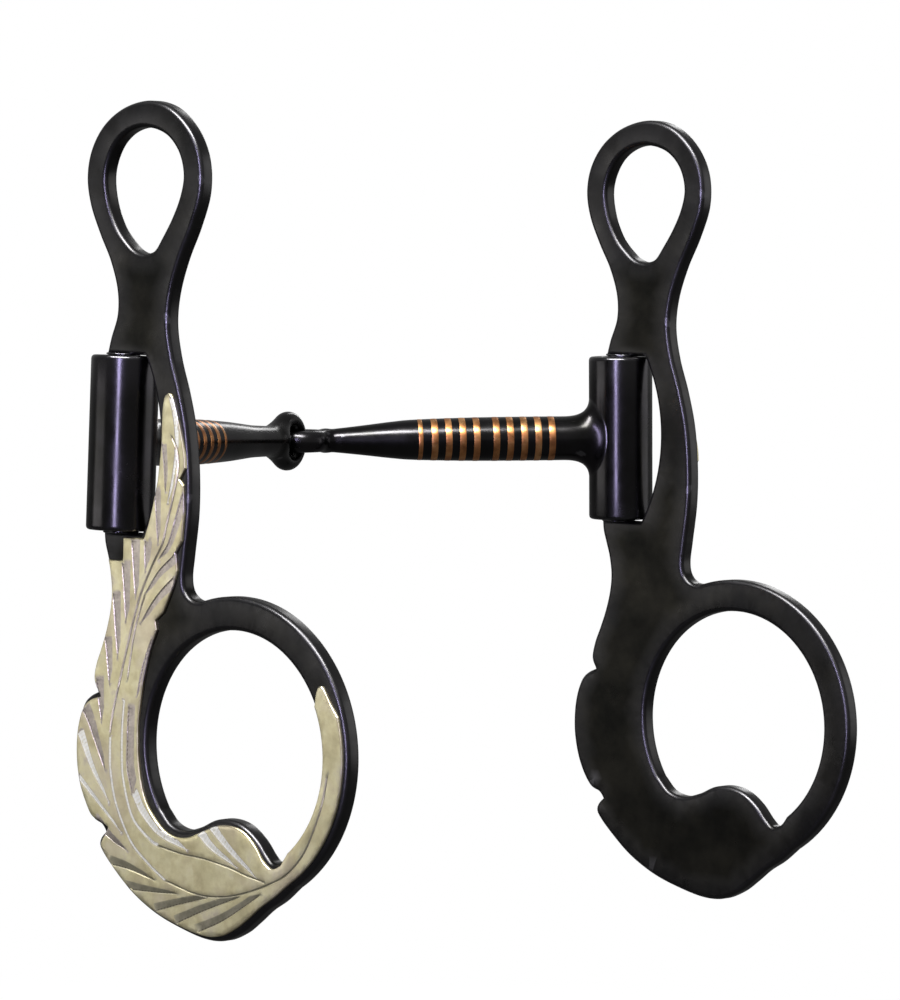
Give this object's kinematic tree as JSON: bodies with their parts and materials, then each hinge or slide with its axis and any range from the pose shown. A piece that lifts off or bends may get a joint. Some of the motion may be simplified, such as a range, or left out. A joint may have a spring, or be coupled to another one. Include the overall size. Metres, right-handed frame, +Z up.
{
  "type": "curb bit",
  "caption": "Western show curb bit: two loose leaf-shaped shank cheeks with eyes and rein rings on a jointed, copper-banded mouthpiece.",
  "frame": {"origin": "crown of the left cheek's headstall eye, in the middle of the plate, where the strap that carries the bit bears", "axes": "+Z up along the cheeks towards the headstall, +X from the left cheek to the right cheek, +Y forward towards the horse's nose, so the rein rings are on the -Y side"},
  "size_m": [0.1371, 0.1157, 0.1641],
  "materials": {
    "blued_steel": "polished, blued near black",
    "german_silver": "bright, engraved",
    "copper": "polished copper inlay"
  },
  "bodies": {
    "left_cheek_body": {"left_cheek": "blued_steel", "left_bar": "blued_steel", "left_feather": "german_silver"},
    "left_mouth": {"left_sleeve": "blued_steel", "left_arm": "blued_steel", "left_inlay_01": "copper", "left_inlay_02": "copper", "left_inlay_03": "copper", "left_inlay_04": "copper", "left_inlay_05": "copper", "left_inlay_06": "copper", "left_inlay_07": "copper"},
    "right_mouth": {"right_sleeve": "blued_steel", "right_arm": "blued_steel", "right_inlay_01": "copper", "right_inlay_02": "copper", "right_inlay_03": "copper", "right_inlay_04": "copper", "right_inlay_05": "copper", "right_inlay_06": "copper", "right_inlay_07": "copper", "right_inlay_08": "copper", "right_inlay_09": "copper", "right_inlay_10": "copper"},
    "right_cheek_body": {"right_cheek": "blued_steel", "right_bar": "blued_steel", "right_feather": "german_silver"}
  },
  "joints": [
    {"name": "left_swivel", "type": "hinge", "parent": "left_cheek_body", "child": "left_mouth", "pos_m": [0, 0.0062, -0.0625], "axis": [0, 0, 1], "range_deg": [-45, 60]},
    {"name": "mouth_bend", "type": "hinge", "parent": "left_mouth", "child": "right_mouth", "pos_m": [0.07115, 0.02412, -0.0644], "axis": [0, 0, 1], "range_deg": [-30, 90]},
    {"name": "right_swivel", "type": "hinge", "parent": "right_mouth", "child": "right_cheek_body", "pos_m": [0.1228, -0.0225, -0.0625], "axis": [0, 0, 1], "range_deg": [-40, 55]}
  ]
}
